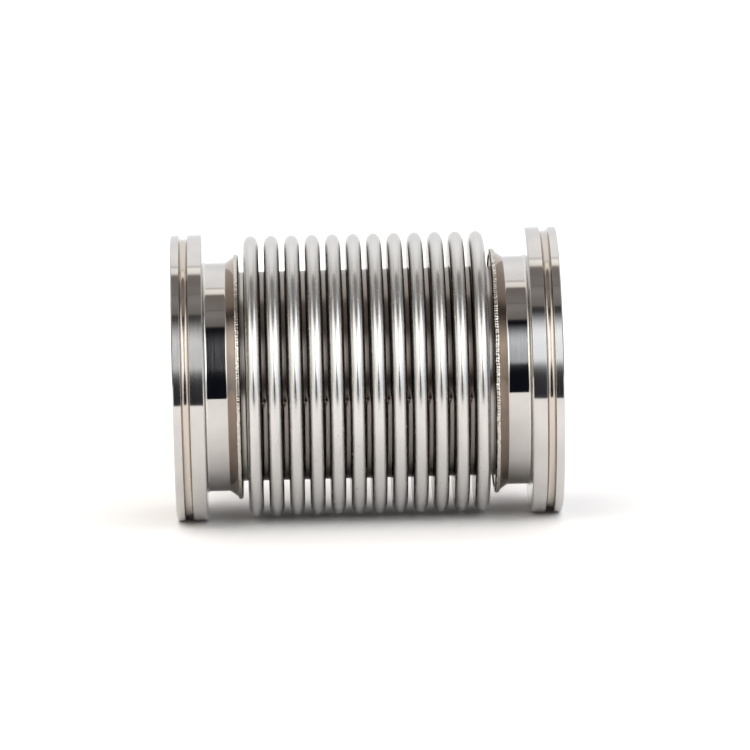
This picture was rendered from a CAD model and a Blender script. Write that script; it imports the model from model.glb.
import math

import bpy
import numpy as np
from mathutils import Matrix, Vector


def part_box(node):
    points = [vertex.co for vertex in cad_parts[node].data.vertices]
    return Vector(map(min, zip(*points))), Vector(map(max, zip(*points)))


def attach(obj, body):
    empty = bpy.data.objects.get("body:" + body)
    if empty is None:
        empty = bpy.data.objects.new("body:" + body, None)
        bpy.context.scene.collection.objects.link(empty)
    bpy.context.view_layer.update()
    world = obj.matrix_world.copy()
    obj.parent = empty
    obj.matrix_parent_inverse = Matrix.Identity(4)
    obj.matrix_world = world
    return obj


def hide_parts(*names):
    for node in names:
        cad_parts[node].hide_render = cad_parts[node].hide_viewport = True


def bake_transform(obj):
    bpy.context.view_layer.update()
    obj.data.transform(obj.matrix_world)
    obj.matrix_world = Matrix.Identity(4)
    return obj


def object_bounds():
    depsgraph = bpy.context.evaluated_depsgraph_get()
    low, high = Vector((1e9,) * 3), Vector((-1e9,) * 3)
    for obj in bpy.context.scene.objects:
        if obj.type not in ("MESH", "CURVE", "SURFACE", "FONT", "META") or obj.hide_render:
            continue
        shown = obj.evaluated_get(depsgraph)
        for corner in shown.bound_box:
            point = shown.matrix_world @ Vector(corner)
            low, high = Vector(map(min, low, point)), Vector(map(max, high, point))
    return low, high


MM = 0.001
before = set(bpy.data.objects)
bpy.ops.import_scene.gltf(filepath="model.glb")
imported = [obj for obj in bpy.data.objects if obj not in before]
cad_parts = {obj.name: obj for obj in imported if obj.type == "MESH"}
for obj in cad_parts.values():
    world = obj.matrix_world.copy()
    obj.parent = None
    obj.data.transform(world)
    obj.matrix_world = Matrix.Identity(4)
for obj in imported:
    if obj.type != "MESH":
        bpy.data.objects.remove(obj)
cad_low, cad_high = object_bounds()

# Lengths below are in millimetres, the same as the CAD part's own dimensions.
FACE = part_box("flange_right")[1].x / MM
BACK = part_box("flange_right")[0].x / MM
FLANGE_R = 55.0
RECESS_R, RECESS_DEPTH = 41.5, 4.5
RIM_FRONT, GROOVE_W, GROOVE_DEPTH, RIM_CHAMFER = 3.2, 3.3, 1.6, 0.4
FILLET_LEG = 1.1
NECK_R, NECK_BORE_R = 44.0, 41.0
FLARE_LEN, LIP_R, NECK_LIP = 3.5, 46.4, 0.8
BEAD_H, BEAD_W = 0.75, 1.8
CONVOLUTIONS = 12
CREST_TOP, CREST_R, CREST_RISE = 54.0, 2.87, 4.0
ROOT_OUT, ROOT_HALF, ROOT_CORNER, PLY = 40.2, 1.35, 0.8, 0.3
END_PLATE, CUFF_LEN = 0.4, 2.5
WALL_SPLIT = 0.5

CREST_MID = CREST_TOP - CREST_RISE
ROOT_MID = ROOT_OUT + ROOT_CORNER
ROOT_FLAT = ROOT_HALF - ROOT_CORNER
FIRST = sum(p.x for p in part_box("crest_01")) / 2 / MM
LAST = sum(p.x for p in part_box(f"crest_{CONVOLUTIONS:02d}")) / 2 / MM
PITCH = (LAST - FIRST) / (CONVOLUTIONS - 1)
PLATE_IN = LAST + CREST_R + CUFF_LEN
LIP_IN = PLATE_IN + END_PLATE
LIP_OUT = LIP_IN + NECK_LIP
FLARE_OUT = LIP_OUT + FLARE_LEN
NECK_END = FACE - RECESS_DEPTH

# The sheet's lengthwise seam lies on the -Y side, a little below the middle. Its ridge and notch
# are SEAM_DEPTH high and deep, and the channel steps sideways by SEAM_STEP, fading out below it.
SEAM_ANGLE = math.radians(-96.0)
SEAM_HALF_WIDTH = math.radians(3.0)
SEAM_DEPTH, SEAM_STEP = 0.4, 0.35
SEAM_FADE = math.radians(75.0)

# The edge welds' ripples: how many go once round, and each end's random seed and strength
RIPPLES = 262
RIPPLE_SEED = {"left": 4, "right": 5}
RIPPLE_STRENGTH = {"left": 0.4, "right": 1.0}


# ---------------------------------------------------------------- sections
# A section point is (x, r, nx, nr): distance along the bore, radius, outward normal.
# Travelling towards +x, the outward side is +r.


def rounded(corners, steps=5, closed=True):
    """Section points round a loop of (x, r, fillet radius) corners."""
    points, count = [], len(corners)
    for i, (x, r, radius) in enumerate(corners):
        here = np.array([x, r], float)
        before = np.array(corners[i - 1][:2], float)
        after = np.array(corners[(i + 1) % count][:2], float)
        into = (here - before) / np.linalg.norm(here - before)
        out = (after - here) / np.linalg.norm(after - here)
        n0, n1 = np.array([-into[1], into[0]]), np.array([-out[1], out[0]])
        if not closed and i in (0, count - 1):
            n = n1 if i == 0 else n0
            points.append((x, r, n[0], n[1]))
            continue
        turn = into[0] * out[1] - into[1] * out[0]
        half = math.acos(max(-1.0, min(1.0, float(into @ out)))) / 2
        reach = radius * math.tan(half)
        middle = here - into * reach + n0 * radius * (1 if turn > 0 else -1)
        for k in range(steps + 1):
            a = math.atan2(n0[1], n0[0]) + (1 if turn > 0 else -1) * 2 * half * k / steps
            n = np.array([math.cos(a), math.sin(a)])
            p = middle + n * radius * (-1 if turn > 0 else 1)
            points.append((p[0], p[1], n[0], n[1]))
    return points


def arc(x, r, radius, start, stop, steps, hollow=False, rise=None):
    """Section points on an arc, or on an ellipse radius wide and rise high.

    Angles are those of the normal, in degrees, from +r towards +x."""
    points = []
    rise = rise or radius
    for k in range(steps + 1):
        a = math.radians(start + (stop - start) * k / steps)
        s, c = math.sin(a), math.cos(a)
        reach = math.hypot(radius * s, rise * c)
        side = -1 if hollow else 1
        points.append((x + radius**2 * s / reach, r + rise**2 * c / reach, side * s, side * c))
    return points


def mirrored(points):
    return [(-x, r, -nx, nr) for x, r, nx, nr in reversed(points)]


def shifted(points, dx):
    return [(x + dx, r, nx, nr) for x, r, nx, nr in points]


# ---------------------------------------------------------------- turning


def round_angles(count, fine_at=None, fine_half=0.0, fine_steps=0):
    """Angles once round, with extra ones close together beside fine_at."""
    angles = list(np.arange(count) * 2 * math.pi / count)
    if fine_at is not None:
        keep = [
            a
            for a in angles
            if abs((a - fine_at + math.pi) % (2 * math.pi) - math.pi) > fine_half * 1.15
        ]
        near = fine_at + np.linspace(-fine_half, fine_half, fine_steps)
        angles = keep + list(near)
    return np.sort(np.mod(angles, 2 * math.pi))


def ring_mesh(name, sections, closed, angles, shape=None):
    """A mesh turned about the bore from one or more sections. Angle 0 is +Z, 90 degrees is +Y.

    shape(x, r, nx, nr, angles) may return changed (x, r) arrays, for a bead or a seam."""
    verts, normals, faces = [], [], []
    s, c = np.sin(angles), np.cos(angles)
    for section in sections:
        base, rows = sum(len(v) for v in verts), len(section)
        for x, r, nx, nr in section:
            xs, rs = np.full(len(angles), float(x)), np.full(len(angles), float(r))
            if shape:
                xs, rs = shape(xs, rs, nx, nr, angles)
            verts.append(np.stack([xs, rs * s, rs * c], 1) * MM)
            normals.append(np.stack([np.full(len(angles), nx), nr * s, nr * c], 1))
        m = len(angles)
        for i in range(rows if closed else rows - 1):
            a, b = base + i * m, base + ((i + 1) % rows) * m
            for j in range(m):
                k = (j + 1) % m
                faces.append((a + j, b + j, b + k, a + k))
    mesh = bpy.data.meshes.new(name)
    co = np.concatenate(verts)
    mesh.from_pydata(co.tolist(), [], faces)
    mesh.validate()
    mesh.shade_smooth()
    if shape is None:
        mesh.normals_split_custom_set_from_vertices(np.concatenate(normals).tolist())
    mesh.update()
    return mesh


def piece(name, sections, material, closed, angles, shape=None):
    mesh = ring_mesh(name, sections, closed, angles, shape)
    mesh.materials.append(material)
    obj = bpy.data.objects.new(name, mesh)
    bpy.context.scene.collection.objects.link(obj)
    return obj


PLAIN = round_angles(240)
SEAMED = round_angles(216, SEAM_ANGLE, 3 * SEAM_HALF_WIDTH, 49)
RIPPLED = round_angles(2304)


# ---------------------------------------------------------------- materials


class Nodes:
    """Short-hand for building one node tree."""

    def __init__(self, tree):
        self.tree = tree

    def add(self, kind, **settings):
        made = self.tree.nodes.new(kind)
        for key, value in settings.items():
            setattr(made, key, value)
        return made

    def link(self, source, target):
        self.tree.links.new(source, target)

    def math(self, operation, a, b=None, c=None):
        made = self.add("ShaderNodeMath", operation=operation)
        for socket, value in zip(made.inputs, (a, b, c)):
            if value is None:
                continue
            if isinstance(value, (int, float)):
                socket.default_value = value
            else:
                self.link(value, socket)
        return made.outputs[0]

    def product(self, first, *others):
        for other in others:
            first = self.math("MULTIPLY", first, other)
        return first

    def range(self, value, low, high, to_low, to_high, smooth=False):
        made = self.add("ShaderNodeMapRange")
        if smooth:
            made.interpolation_type = "SMOOTHSTEP"
        for socket, number in zip(list(made.inputs)[1:5], (low, high, to_low, to_high)):
            socket.default_value = number
        self.link(value, made.inputs[0])
        return made.outputs[0]

    def ramp(self, value, *stops):
        made = self.add("ShaderNodeValToRGB")
        ends = made.color_ramp.elements
        while len(ends) < len(stops):
            ends.new(0.5)
        for end, (at, colour) in zip(ends, stops):
            end.position = at
            end.color = (*colour, 1)
        self.link(value, made.inputs[0])
        return made.outputs["Color"]

    def mix(self, fac, a, b, kind="MIX"):
        made = self.add("ShaderNodeMix", data_type="RGBA", blend_type=kind)
        for socket, value in zip([made.inputs[0], made.inputs[6], made.inputs[7]], (fac, a, b)):
            if isinstance(value, tuple):
                socket.default_value = (*value, 1)
            elif isinstance(value, (int, float)):
                socket.default_value = value
            else:
                self.link(value, socket)
        return made.outputs[2]


class Metal(Nodes):
    """One metal's material."""

    def __init__(self, name):
        self.material = bpy.data.materials.new(name)
        self.material.use_nodes = True
        super().__init__(self.material.node_tree)
        self.shader = self.tree.nodes["Principled BSDF"]
        self.place = self.add("ShaderNodeTexCoord").outputs["Object"]

    def scaled(self, x, y, z):
        made = self.add("ShaderNodeVectorMath", operation="MULTIPLY")
        made.inputs[1].default_value = (x, y, z)
        self.link(self.place, made.inputs[0])
        return made.outputs[0]

    def turned_parts(self):
        """Distance along the bore, distance out from it, and angle round it."""
        parts = self.add("ShaderNodeSeparateXYZ")
        self.link(self.place, parts.inputs[0])
        x, y, z = parts.outputs
        squares = self.math("ADD", self.math("MULTIPLY", y, y), self.math("MULTIPLY", z, z))
        return x, self.math("SQRT", squares), self.math("ARCTAN2", y, z)

    def turned_place(self, along, across, around):
        """Coordinates that follow the bore, each multiplied by its own scale."""
        made = self.add("ShaderNodeCombineXYZ")
        scales = (along, across, around)
        for socket, value, scale in zip(made.inputs, self.turned_parts(), scales):
            self.link(self.math("MULTIPLY", value, scale), socket)
        return made.outputs[0]

    def noise(self, place, scale, detail=2.0, roughness=0.5):
        made = self.add("ShaderNodeTexNoise")
        made.inputs["Scale"].default_value = scale
        made.inputs["Detail"].default_value = detail
        made.inputs["Roughness"].default_value = roughness
        self.link(place, made.inputs["Vector"])
        return made.outputs["Fac"]

    def bump(self, height, distance, strength):
        made = self.add("ShaderNodeBump")
        made.inputs["Strength"].default_value = strength
        made.inputs["Distance"].default_value = distance
        self.link(height, made.inputs["Height"])
        return made.outputs["Normal"]

    def steel(self, anisotropy):
        self.shader.inputs["Metallic"].default_value = 1.0
        self.shader.inputs["Anisotropic"].default_value = anisotropy
        self.shader.inputs["Anisotropic Rotation"].default_value = 0.25
        tangent = self.add("ShaderNodeTangent", direction_type="RADIAL", axis="X")
        self.link(tangent.outputs[0], self.shader.inputs["Tangent"])

    def finish(self, colour, roughness, normal):
        self.link(colour, self.shader.inputs["Base Color"])
        self.link(roughness, self.shader.inputs["Roughness"])
        self.link(normal, self.shader.inputs["Normal"])
        return self.material


BLACK, WHITE = (0, 0, 0), (1, 1, 1)
# How far the clouding moves the edge of a colour, and the width of the groove colour's edge
WAVER, SHARP = 0.3, 0.1


def turned_steel(name, light, dark, rough_low, rough_high, anisotropy, tint=None, groove=None):
    """Lathe-turned stainless steel: fine rings round the bore and faint clouding.

    tint is (from, to, colour): that colour up to a fade between two distances from the middle.
    groove is (from, to, colour): that colour between two distances, near the rim only."""
    n = Metal(name)
    n.steel(anisotropy)
    streaks = n.noise(n.turned_place(2600, 2600, 3.0), 1.0, 3.0, 0.6)
    clouds = n.noise(n.scaled(60, 60, 60), 1.0, 3.0, 0.55)
    colour = n.mix(n.ramp(clouds, (0.3, BLACK), (0.75, WHITE)), light, dark)
    along, out, _ = n.turned_parts()
    away = n.math("ABSOLUTE", along)
    if tint is not None:
        near, far, tint_colour = tint
        edge = n.math("MULTIPLY_ADD", clouds, WAVER * MM, away)
        colour = n.mix(n.range(edge, near, far, 1.0, 0.0), colour, tint_colour)
    if groove is not None:
        near, far, groove_colour = groove
        inside = n.product(
            n.range(away, near - SHARP * MM, near, 0.0, 1.0),
            n.range(away, far, far + SHARP * MM, 1.0, 0.0),
            n.range(out, (FLANGE_R - 3.0) * MM, (FLANGE_R - 2.5) * MM, 0.0, 1.0),
        )
        colour = n.mix(inside, colour, groove_colour)
    blend = n.math("ADD", n.math("MULTIPLY", streaks, 0.7), n.math("MULTIPLY", clouds, 0.3))
    roughness = n.range(blend, 0.3, 0.7, rough_low, rough_high)
    return n.finish(colour, roughness, n.bump(streaks, 0.000006, 0.25))


def sheet_steel():
    """Formed thin sheet, satin and pale at the crests, brown and smoother down in the valleys.

    The channels' floors are a little paler and the cuffs much paler, and both are rougher."""
    n = Metal("bellows_sheet")
    n.steel(0.3)
    lines = n.noise(n.turned_place(5200, 5200, 1.5), 1.0, 3.0, 0.6)
    mottle = n.noise(n.scaled(420, 420, 420), 1.0, 4.0, 0.6)
    clouds = n.noise(n.scaled(45, 45, 45), 1.0, 2.0, 0.5)
    along, radius, _ = n.turned_parts()
    out = n.math("MULTIPLY_ADD", clouds, WAVER * MM, radius)
    away = n.math("ABSOLUTE", along)
    cuff_from, cuff_to = LAST + CREST_R, PLATE_IN - 0.8
    crests = n.range(out, CREST_MID * MM, (CREST_MID + 1.9) * MM, 0.0, 1.0, True)
    roots = n.range(out, (ROOT_OUT + 0.2) * MM, (ROOT_OUT + 0.6) * MM, 0.36, 0.0, True)
    cuffs = n.product(
        n.range(away, cuff_from * MM, (cuff_from + 0.2) * MM, 0.0, 0.85),
        n.range(away, (cuff_to - 0.4) * MM, cuff_to * MM, 1.0, 0.0),
        n.range(out, (ROOT_OUT + 1.0) * MM, (ROOT_OUT + 1.6) * MM, 1.0, 0.0),
    )
    pale = n.math("MAXIMUM", n.math("MAXIMUM", crests, roots), cuffs)
    spots = n.ramp(clouds, (0.3, BLACK), (0.7, WHITE))
    crest = n.mix(spots, (0.62, 0.605, 0.59), (0.58, 0.565, 0.55))
    valley = n.mix(spots, (0.20, 0.15, 0.12), (0.17, 0.13, 0.10))
    colour = n.mix(pale, valley, crest)
    blend = n.math("ADD", n.math("MULTIPLY", lines, 0.5), n.math("MULTIPLY", mottle, 0.5))
    satin = n.range(blend, 0.3, 0.7, 0.23, 0.285)
    skin = n.math("MULTIPLY_ADD", pale, 0.08, n.math("ADD", satin, -0.08))
    foot = n.range(out, (ROOT_OUT + 0.3) * MM, (ROOT_OUT + 1.0) * MM, 0.30, 0.15, True)
    roughness = n.math("MAXIMUM", skin, foot)
    return n.finish(colour, roughness, n.bump(lines, 0.0000015, 0.2))


def weld_steel(name, light, dark):
    """Weld metal: bright and finely pitted, straw-coloured in the pits, unevenly glossy."""
    n = Metal(name)
    n.steel(0.0)
    pits = n.noise(n.scaled(1700, 1700, 1700), 1.0, 3.0, 0.65)
    clouds = n.noise(n.scaled(260, 260, 260), 1.0, 2.0, 0.5)
    colour = n.mix(n.ramp(pits, (0.35, WHITE), (0.6, BLACK)), light, dark)
    roughness = n.range(clouds, 0.3, 0.7, 0.10, 0.26)
    return n.finish(colour, roughness, n.bump(pits, 0.00005, 0.4))


GROOVE_CREAM, CONE_BROWN = (0.53, 0.48, 0.43), (0.41, 0.335, 0.28)
RIM_STEEL = turned_steel(
    "flange_turned",
    light=(0.595, 0.575, 0.555),
    dark=(0.515, 0.495, 0.48),
    rough_low=0.115,
    rough_high=0.15,
    anisotropy=1.0,
    groove=((FACE - RIM_FRONT - GROOVE_W) * MM, (FACE - RIM_FRONT) * MM, GROOVE_CREAM),
)
NECK_STEEL = turned_steel(
    "neck_turned",
    light=(0.58, 0.56, 0.54),
    dark=(0.485, 0.465, 0.45),
    rough_low=0.055,
    rough_high=0.085,
    anisotropy=0.9,
    tint=((FLARE_OUT - 0.3) * MM, (FLARE_OUT + 0.3) * MM, CONE_BROWN),
)
SHEET = sheet_steel()
BEAD = weld_steel("weld_bead", (0.66, 0.64, 0.60), (0.34, 0.29, 0.24))
FILLET = weld_steel("weld_fillet", (0.66, 0.65, 0.62), (0.58, 0.56, 0.52))


# ---------------------------------------------------------------- end pieces


def flange_section():
    g0, g1 = FACE - RIM_FRONT - GROOVE_W, FACE - RIM_FRONT
    floor, groove_round = FLANGE_R - GROOVE_DEPTH, GROOVE_DEPTH - 0.2
    return rounded(
        [
            (BACK, NECK_R, 0.05),
            (BACK, FLANGE_R - RIM_CHAMFER, 0.06),
            (BACK + RIM_CHAMFER, FLANGE_R, 0.06),
            (g0, FLANGE_R, 0.12),
            (g0, floor, groove_round),
            (g1, floor, groove_round),
            (g1, FLANGE_R, 0.12),
            (FACE - RIM_CHAMFER, FLANGE_R, 0.06),
            (FACE, FLANGE_R - RIM_CHAMFER, 0.06),
            (FACE, RECESS_R, 0.3),
            (NECK_END, RECESS_R, 0.15),
            (NECK_END, NECK_R, 0.05),
        ],
        steps=4,
    )


def neck_section():
    return rounded(
        [
            (LIP_IN, NECK_BORE_R, 0.15),
            (LIP_IN, LIP_R, 0.05),
            (LIP_OUT, LIP_R, 0.1),
            (FLARE_OUT, NECK_R, 1.2),
            (NECK_END, NECK_R, 0.1),
            (NECK_END, NECK_BORE_R, 0.2),
        ],
        steps=7,
    )


def cuff_sections():
    """Outer and bore-side surfaces of the plain cuff with its end plate."""
    arc_x = LAST + PITCH / 2
    corner_x = arc_x - ROOT_FLAT
    outside = arc(corner_x, ROOT_MID, ROOT_CORNER, 270 - SLANT, 180, 10, hollow=True)
    corner = rounded(
        [(arc_x, ROOT_OUT, 0), (PLATE_IN, ROOT_OUT, 0.35), (PLATE_IN, LIP_R, 0)],
        6,
        closed=False,
    )
    inside = arc(corner_x, ROOT_MID, ROOT_CORNER + PLY, 180, 270 - SLANT, 10)
    bore = [(LIP_IN, ROOT_OUT - PLY, 0, -1), (arc_x, ROOT_OUT - PLY, 0, -1)]
    edge = rounded(
        [(LIP_IN, LIP_R, 0), (LIP_IN, ROOT_OUT - PLY, 0.12), (arc_x, ROOT_OUT - PLY, 0)],
        4,
        closed=False,
    )
    return [outside + corner[1:], edge[:-1] + bore[1:] + inside[1:]]


def seam(xs, rs, nx, nr, angles):
    """The sheet's lengthwise seam crossing a root: a slanting ridge with a notch to its left.

    The channel below the seam stands a little to the right of the channel above it."""
    off = (angles - SEAM_ANGLE + math.pi) % (2 * math.pi) - math.pi
    low = np.clip((ROOT_MID + 1.0 - rs) / 1.2, 0, 1)
    across = ((xs / PITCH + 0.5) % 1 - 0.5) * PITCH / ROOT_HALF
    t = off / SEAM_HALF_WIDTH
    ridge = np.exp(-(((across + 0.5) / 0.5) ** 2) - ((t - 0.1) / 0.5) ** 2)
    notch = np.exp(-(((across + 0.8) / 0.5) ** 2) - ((t + 0.6) / 0.35) ** 2)
    step = np.clip(0.5 - t / 2, 0, 1) * np.clip(1 + off / SEAM_FADE, 0, 1)
    return xs + SEAM_STEP * step * low, rs + SEAM_DEPTH * (ridge - notch) * low


def bead_ripples(seed, strength):
    """Overlapping weld ripples round the lip, uneven in height, width and place."""
    rng = np.random.default_rng(seed)
    spacing = 2 * math.pi / RIPPLES
    starts = (np.arange(RIPPLES) + rng.uniform(-0.28, 0.28, RIPPLES)) * spacing
    heights = rng.uniform(0.45, 1.0, RIPPLES)
    drift = rng.uniform(-0.22, 0.22, RIPPLES)

    def shape(xs, rs, nx, nr, angles):
        k = np.searchsorted(starts, angles) - 1
        here, after = k % RIPPLES, (k + 1) % RIPPLES
        t = (angles - starts[here]) % (2 * math.pi)
        gap = (starts[after] - starts[here]) % (2 * math.pi)
        t = np.clip(t / gap, 0, 1)
        mound = np.sin(np.pi * t) ** 0.6
        ease = t * t * (3 - 2 * t)
        high = heights[here] * (1 - ease) + heights[after] * ease
        side = strength * (drift[here] * (1 - ease) + drift[after] * ease)
        up = np.clip((rs - LIP_R + 0.1) / (BEAD_H + 0.1), 0, 1)
        low = strength * (1 - (0.6 + 0.4 * high) * (0.8 + 0.2 * mound))
        return xs + side * up, rs - low * BEAD_H * up

    return shape


def bead_section():
    """The weld's toe on the end plate, then its broad flattened bead."""
    middle = (PLATE_IN + LIP_OUT) / 2
    toe_x, toe_r, toe_half_width, toe_rise = PLATE_IN - 0.18, LIP_R - 0.85, 0.34, 0.75
    toe = arc(toe_x, toe_r, toe_half_width, -130, 10, 8, rise=toe_rise)
    points, steps = [], 16
    for k in range(steps + 1):
        a = math.radians(-100 + 200 * k / steps)
        s, c = math.sin(a), math.cos(a)
        flat = math.copysign(abs(c) ** 0.6, c)
        points.append((middle + BEAD_W / 2 * s, LIP_R + BEAD_H * flat, s, c))
    return toe + points


def fillet_section():
    """Concave fillet weld in the corner between the neck and the flange's back face."""
    return arc(BACK - FILLET_LEG, NECK_R + FILLET_LEG, FILLET_LEG, 180, 90, 8, hollow=True)


# ---------------------------------------------------------------- bellows


def wall_slant():
    """Angle in degrees by which each wall leans, so that it is tangent to crest and root."""
    low, high = 0.0, 20.0
    for _ in range(40):
        middle = (low + high) / 2
        a = math.radians(90 + middle)
        reach = math.hypot(CREST_R * math.sin(a), CREST_RISE * math.cos(a))
        across = (PITCH / 2 - ROOT_FLAT) * math.sin(a) - (CREST_MID - ROOT_MID) * math.cos(a)
        gap = across - ROOT_CORNER - reach
        low, high = (middle, high) if gap < 0 else (low, middle)
    return low


def wall_points():
    """The ends of a crest's right wall, at the crest and at the root, from the crest's middle."""
    a = math.radians(90 + SLANT)
    n = (math.sin(a), math.cos(a))
    reach = math.hypot(CREST_R * n[0], CREST_RISE * n[1])
    top = (CREST_R**2 * n[0] / reach, CREST_MID + CREST_RISE**2 * n[1] / reach)
    foot = (PITCH / 2 - ROOT_FLAT - ROOT_CORNER * n[0], ROOT_MID - ROOT_CORNER * n[1])
    return top, foot, n


def wall_section(x, low, high, steps=6):
    """Part of a right wall, from share low to share high of the way down from the crest."""
    top, foot, n = wall_points()
    points = []
    for k in range(steps + 1):
        t = low + (high - low) * k / steps
        along = x + top[0] + (foot[0] - top[0]) * t
        out = top[1] + (foot[1] - top[1]) * t
        points.append((along, out, n[0], n[1]))
    return points


def crest_x(n):
    return FIRST + (n - 1) * PITCH


def sheet_piece(name, section, shape=None):
    return piece(name, [section], SHEET, False, SEAMED, shape)


def flexing(name, section):
    """A piece of wall that bends from body before to body after along its section."""
    obj = sheet_piece(name, section)
    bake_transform(obj)
    return obj


def convolution(n):
    """One crest, its whole left wall, and its right wall in two halves."""
    x = crest_x(n)
    ring, band = f"crest_{n:02d}_ring", f"wall_{n:02d}_band"
    top = arc(x, CREST_MID, CREST_R, -90 - SLANT, 90 + SLANT, 36, rise=CREST_RISE)
    crest = sheet_piece(f"crest_skin_{n:02d}", top)
    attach(crest, ring)
    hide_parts(f"crest_{n:02d}")

    left = shifted(mirrored(wall_section(0, 0, 1, 12)), x)
    flexing(f"left_wall_{n:02d}", left)

    upper = flexing(f"right_wall_upper_{n:02d}", wall_section(x, 0, WALL_SPLIT))
    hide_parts(f"wall_{n:02d}")

    flexing(f"right_wall_lower_{n:02d}", wall_section(x, WALL_SPLIT, 1))


def root(n):
    """One root with the feet of the two walls beside it, and the sheet's seam across it."""
    x = crest_x(n) + PITCH / 2
    corner = arc(x + ROOT_FLAT, ROOT_MID, ROOT_CORNER, 180, 90 + SLANT, 10, hollow=True)
    opposite = arc(x - ROOT_FLAT, ROOT_MID, ROOT_CORNER, 270 - SLANT, 180, 10, hollow=True)
    floor_between = [(x + ROOT_FLAT * k / 3, ROOT_OUT, 0, 1) for k in (-2, -1, 0, 1, 2)]
    skin = sheet_piece(f"root_skin_{n:02d}", opposite + floor_between + corner, seam)
    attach(skin, f"root_{n:02d}_ring")
    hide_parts(f"root_{n:02d}")


def end(side):
    """One end's flange, neck and welds, with the bellows' cuff."""

    def put(section):
        return section if side == "right" else mirrored(section)

    body = f"{side}_end"
    ripples = bead_ripples(RIPPLE_SEED[side], RIPPLE_STRENGTH[side])
    made = [
        ("flange", [flange_section()], RIM_STEEL, "flange_steel", True, PLAIN, None),
        ("flange_weld", [fillet_section()], FILLET, "weld_steel", False, PLAIN, None),
        ("neck", [neck_section()], NECK_STEEL, "neck_steel", True, PLAIN, None),
        ("lip_weld", [bead_section()], BEAD, "weld_steel", False, RIPPLED, ripples),
        ("bellows_cuff", cuff_sections(), SHEET, "bellows_steel", False, SEAMED, None),
    ]
    for name, sections, material, slot, closed, angles, shape in made:
        placed = [put(s) for s in sections]
        obj = piece(f"{name}_skin_{side}", placed, material, closed, angles, shape)
        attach(obj, body)
        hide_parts(f"{name}_{side}")


SLANT = wall_slant()
for n in range(1, CONVOLUTIONS + 1):
    convolution(n)
for n in range(1, CONVOLUTIONS):
    root(n)
for side in ("left", "right"):
    end(side)


# ---------------------------------------------------------------- floor, studio and camera

FLOOR_Z = cad_low.z
FLOOR_COLOUR = (0.865, 0.85, 0.84)

BACKDROP, BRIGHT, DARK = (1.25, 1.25, 1.26), (1.0, 1.0, 1.01), (0.006, 0.007, 0.012)
# The room's brightness by angle, in degrees, from straight down (-90), up past the camera (0),
# over the top (90) and down behind (180) to straight down again (270). The angles and levels were
# worked out by hand from rows and colours read off the photograph's left neck, and then adjusted.
BANDS = [
    (-90, DARK),
    (57.5, DARK),
    (58.5, (0.04, 0.036, 0.034)),
    (60.0, (0.04, 0.036, 0.034)),
    (60.6, (0.23, 0.215, 0.20)),
    (66.0, (0.27, 0.25, 0.235)),
    (72.0, (0.33, 0.31, 0.295)),
    (78.0, (0.32, 0.30, 0.285)),
    (78.6, (0.22, 0.20, 0.19)),
    (79.4, (0.29, 0.268, 0.255)),
    (88.6, (0.28, 0.258, 0.245)),
    (89.2, (0.22, 0.20, 0.19)),
    (90.0, (0.263, 0.237, 0.222)),
    (99.3, (0.263, 0.237, 0.222)),
    (100.6, (1.2, 1.15, 1.08)),
    (105.0, (1.4, 1.37, 1.32)),
    (107.8, (1.4, 1.37, 1.32)),
    (108.6, (0.65, 0.62, 0.58)),
    (109.4, (0.65, 0.62, 0.58)),
    (110.4, (1.2, 1.2, 1.2)),
    (135, BACKDROP),
    (165, BRIGHT),
    (270, BRIGHT),
]
CEILING_LEFT, CEILING_RIGHT = (0.56, 0.555, 0.55), (0.335, 0.335, 0.34)
WALL_FRONT, WALL_BACK = (0.50, 0.49, 0.475), (1.0, 1.0, 1.0)
# Half the dark space between the panels at the camera's level, in degrees
SLOT_LOW = 21.0
# What is added to the strength 1 of the light that falls on matt surfaces, which is mostly the
# floor: near the camera's level, from above, and on top of that from behind
FLOOR_GAIN_LEVEL, FLOOR_GAIN_ABOVE, FLOOR_GAIN_BEHIND = -0.45, 2.25, -1.3
# Strength of the white that the camera sees where there is nothing else
SEEN_STRENGTH = 1.05


def floor():
    """A plain pale table under the joint, ending a little way in front of it."""
    mesh = bpy.data.meshes.new("floor")
    # In metres. The front edge is slanted, and comes nearer to the joint at the right.
    side, back, front_left, front_right = 1.2, 1.4, -0.37, -0.13
    corners = [(-side, front_left), (side, front_right), (side, back), (-side, back)]
    mesh.from_pydata([(x, y, FLOOR_Z) for x, y in corners], [], [(0, 1, 2, 3)])
    material = bpy.data.materials.new("floor_white")
    material.use_nodes = True
    shader = material.node_tree.nodes["Principled BSDF"]
    shader.inputs["Base Color"].default_value = (*FLOOR_COLOUR, 1)
    shader.inputs["Roughness"].default_value = 0.8
    shader.inputs["Specular IOR Level"].default_value = 0.2
    mesh.materials.append(material)
    obj = bpy.data.objects.new("floor", mesh)
    bpy.context.scene.collection.objects.link(obj)


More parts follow.
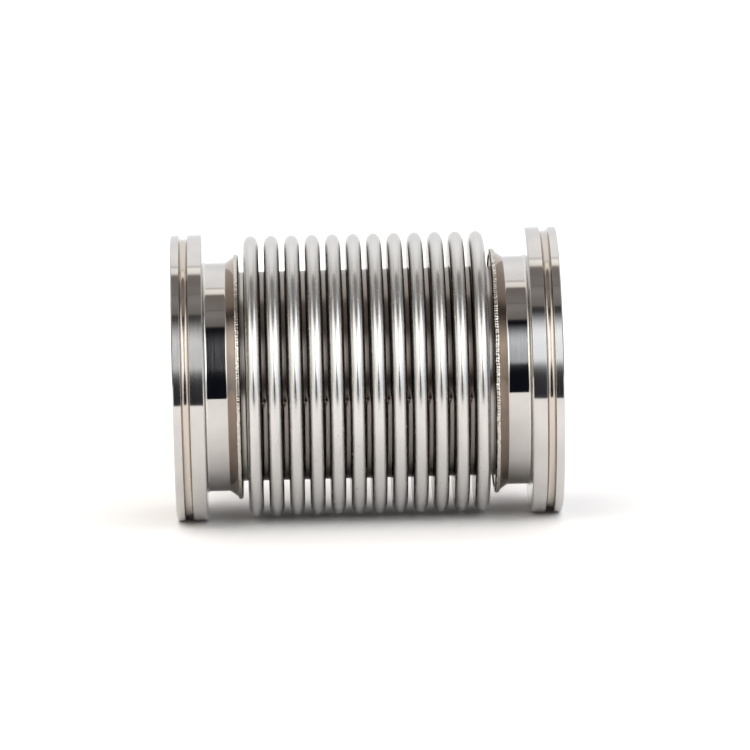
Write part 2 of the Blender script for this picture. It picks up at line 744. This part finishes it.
class Room(Nodes):
    """The studio round the joint, as brightness by direction."""

    def __init__(self, world):
        world.use_nodes = True
        super().__init__(world.node_tree)
        self.tree.nodes.clear()
        parts = self.add("ShaderNodeSeparateXYZ")
        self.link(self.add("ShaderNodeTexCoord").outputs["Generated"], parts.inputs[0])
        self.x, self.y, z = parts.outputs
        front = self.math("MULTIPLY", self.y, -1.0)
        # 0 straight down, 0.25 level towards the camera, 0.5 overhead, 0.75 level behind
        lean = self.math("ARCTAN2", z, front)
        self.over = self.math("FRACT", self.math("MULTIPLY_ADD", lean, 0.5 / math.pi, 0.25))
        # Degrees above the level, and degrees round from the camera, more to the right
        self.height = self.math("MULTIPLY", self.math("ARCSINE", z), 180 / math.pi)
        self.turn = self.math("MULTIPLY", self.math("ARCTAN2", self.x, front), 180 / math.pi)

    def background(self):
        """The bands, with a greyer ceiling and pale walls away from the middle.

        The walls grow lighter towards the back and have a dark upright gap on each side."""
        stops = [((degrees + 90) / 360, colour) for degrees, colour in BANDS]
        room = self.ramp(self.over, *stops)
        round_away = self.math("ABSOLUTE", self.turn)
        ceiling = self.mix(self.range(self.x, -0.3, 0.3, 0, 1, True), CEILING_LEFT, CEILING_RIGHT)
        walls = self.mix(self.range(round_away, 95, 150, 0, 1), WALL_FRONT, WALL_BACK)
        sides = self.mix(self.range(self.height, 42, 62, 0, 1, True), walls, ceiling)
        aside = self.range(self.math("ABSOLUTE", self.x), 0.25, 0.6, 0, 1, True)
        above = self.range(self.over, 0.347, 0.389, 0, 1)
        room = self.mix(self.product(aside, above), room, sides)
        gap = self.product(
            self.range(round_away, 84, 90, 0, 1, True),
            self.range(round_away, 98, 108, 1, 0, True),
            self.range(self.height, 40, 52, 0.8, 0, True),
        )
        return self.mix(gap, room, DARK)

    def panel(self, light, side, near, far, top, colour, strength):
        """A soft panel from near to far degrees round to one side of the camera.

        The dark space between the two panels is wider at the camera's level than above it."""
        round_to = self.math("MULTIPLY", self.turn, side)
        narrowing = self.range(self.height, -2, 17, SLOT_LOW, near, True)
        power = self.product(
            self.range(self.math("SUBTRACT", round_to, narrowing), -2.5, 5, 0, 1, True),
            self.range(round_to, far - 8, far + 8, 1, 0, True),
            self.range(self.height, -12, 18, 0.4, 1.0),
            self.range(self.height, 34, top, 1, 0, True),
            self.range(round_to, near + 8, near + 35, 1.0, 0.6),
            strength,
        )
        shine = self.mix(power, BLACK, colour)
        shine.node.clamp_factor = False
        return self.mix(1.0, light, shine, "ADD")

    def finish(self, light):
        """The camera sees plain white, and matt surfaces get the light with its floor gain."""
        seen = self.add("ShaderNodeBackground")
        seen.inputs["Strength"].default_value = SEEN_STRENGTH
        seen.inputs["Color"].default_value = (*WHITE, 1)
        lit = self.add("ShaderNodeBackground")
        self.link(light, lit.inputs["Color"])
        path = self.add("ShaderNodeLightPath")
        gain = self.range(self.height, 5, 55, FLOOR_GAIN_LEVEL, FLOOR_GAIN_ABOVE)
        gain = self.math("ADD", gain, self.range(self.y, 0.0, 0.6, 0.0, FLOOR_GAIN_BEHIND))
        gain = self.math("MAXIMUM", gain, -1.0)
        strength = self.math("MULTIPLY_ADD", path.outputs["Is Diffuse Ray"], gain, 1.0)
        self.link(strength, lit.inputs["Strength"])
        either = self.add("ShaderNodeMixShader")
        self.link(path.outputs["Is Camera Ray"], either.inputs[0])
        self.link(lit.outputs[0], either.inputs[1])
        self.link(seen.outputs[0], either.inputs[2])
        self.link(either.outputs[0], self.add("ShaderNodeOutputWorld").inputs["Surface"])


def studio():
    """Two soft panels, cool at the right and warm at the left, before the banded background."""
    world = bpy.data.worlds.new("studio")
    bpy.context.scene.world = world
    room = Room(world)
    light = room.background()
    light = room.panel(light, 1, 3.0, 86, 56, (0.91, 0.96, 1.02), 3.3)
    light = room.panel(light, -1, 8.5, 78, 61, (1.0, 0.97, 0.90), 2.9)
    room.finish(light)


def camera():
    """A long lens a little left of the middle, tipped down and slightly rolled."""
    elevation, azimuth, roll = math.radians(8.1), math.radians(0.94), math.radians(-1.27)
    distance, aim_right, aim_down = 2.403, 0.00346, 0.00057
    flat = math.cos(elevation)
    ahead = Vector((math.sin(azimuth) * flat, math.cos(azimuth) * flat, -math.sin(elevation)))
    level = Vector((math.cos(azimuth), -math.sin(azimuth), 0))
    over = level.cross(ahead)
    right = level * math.cos(roll) + over * math.sin(roll)
    up = -level * math.sin(roll) + over * math.cos(roll)
    aim = right * aim_right - up * aim_down
    data = bpy.data.cameras.new("camera")
    data.sensor_width = 36.0
    data.lens = 299.2
    data.clip_start, data.clip_end = 0.1, 20
    obj = bpy.data.objects.new("camera", data)
    turn = Matrix((right, up, -ahead)).transposed().to_4x4()
    obj.matrix_world = Matrix.Translation(aim - ahead * distance) @ turn
    bpy.context.scene.collection.objects.link(obj)
    bpy.context.scene.camera = obj


floor()
studio()
camera()
bpy.context.scene.view_settings.view_transform = "Standard"
